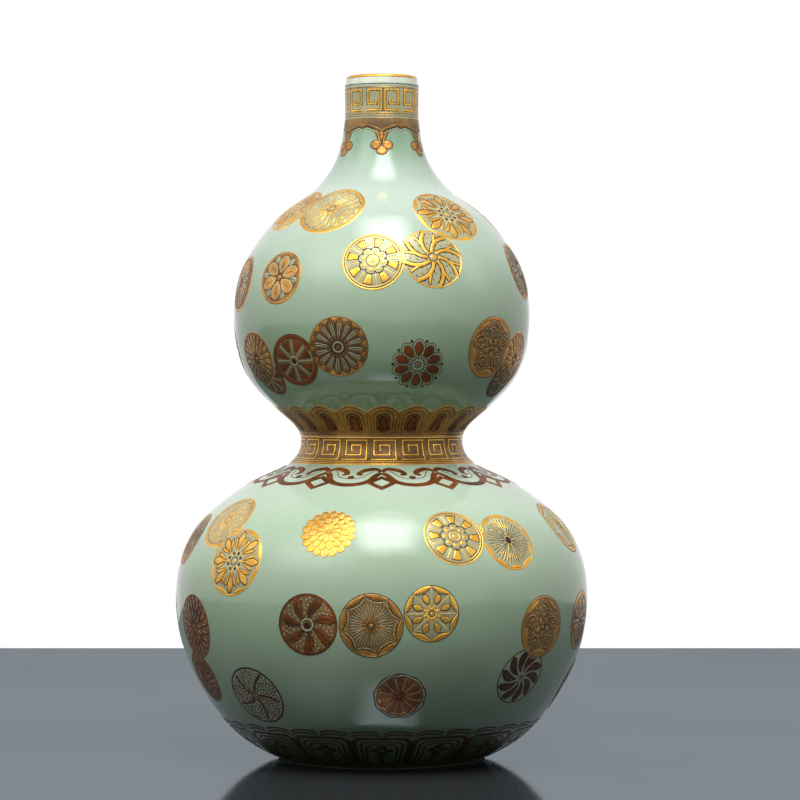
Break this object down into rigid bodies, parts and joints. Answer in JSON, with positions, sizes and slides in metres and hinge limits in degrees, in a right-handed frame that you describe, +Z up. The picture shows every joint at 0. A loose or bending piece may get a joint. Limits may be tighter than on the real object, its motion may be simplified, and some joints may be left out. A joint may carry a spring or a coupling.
{
  "type": "double gourd vase",
  "caption": "Double gourd porcelain vase with a narrow neck, celadon glaze, gilt flower roundels, key fret bands and lappet borders, standing on a recessed foot rim.",
  "frame": {"origin": "centre of the foot rim, in the plane the vase stands on", "axes": "+Z up along the turning axis, -Y towards the viewer of the pictured side, +X to the viewer's right"},
  "size_m": [0.1938, 0.1938, 0.32],
  "materials": {
    "celadon_porcelain": "glossy pale celadon glaze over porcelain, bare and matt on the foot rim",
    "slip": "matt fired porcelain slip",
    "gilding": "raised gilding over the glaze, outlined in iron brown, softly worn"
  },
  "bodies": {
    "root": {"foot_and_lower_bowl": "celadon_porcelain", "lower_bulb_shoulder": "celadon_porcelain", "upper_bulb_bowl": "celadon_porcelain", "upper_bulb_shoulder": "celadon_porcelain", "neck_and_lip": "celadon_porcelain", "belly_slip_joint": "slip", "waist_slip_joint": "slip", "crown_slip_joint": "slip", "neck_slip_joint": "slip", "gilt_lip_line": "gilding", "gilt_neck_fret": "gilding", "gilt_neck_pendants": "gilding", "gilt_upper_roundels_top": "gilding", "gilt_upper_roundels_middle": "gilding", "gilt_upper_roundels_bottom": "gilding", "gilt_petal_collar": "gilding", "gilt_waist_fret": "gilding", "gilt_shoulder_collar": "gilding", "gilt_lower_roundels_top": "gilding", "gilt_lower_roundels_middle": "gilding", "gilt_lower_roundels_bottom": "gilding", "gilt_foot_panels": "gilding"}
  },
  "joints": []
}
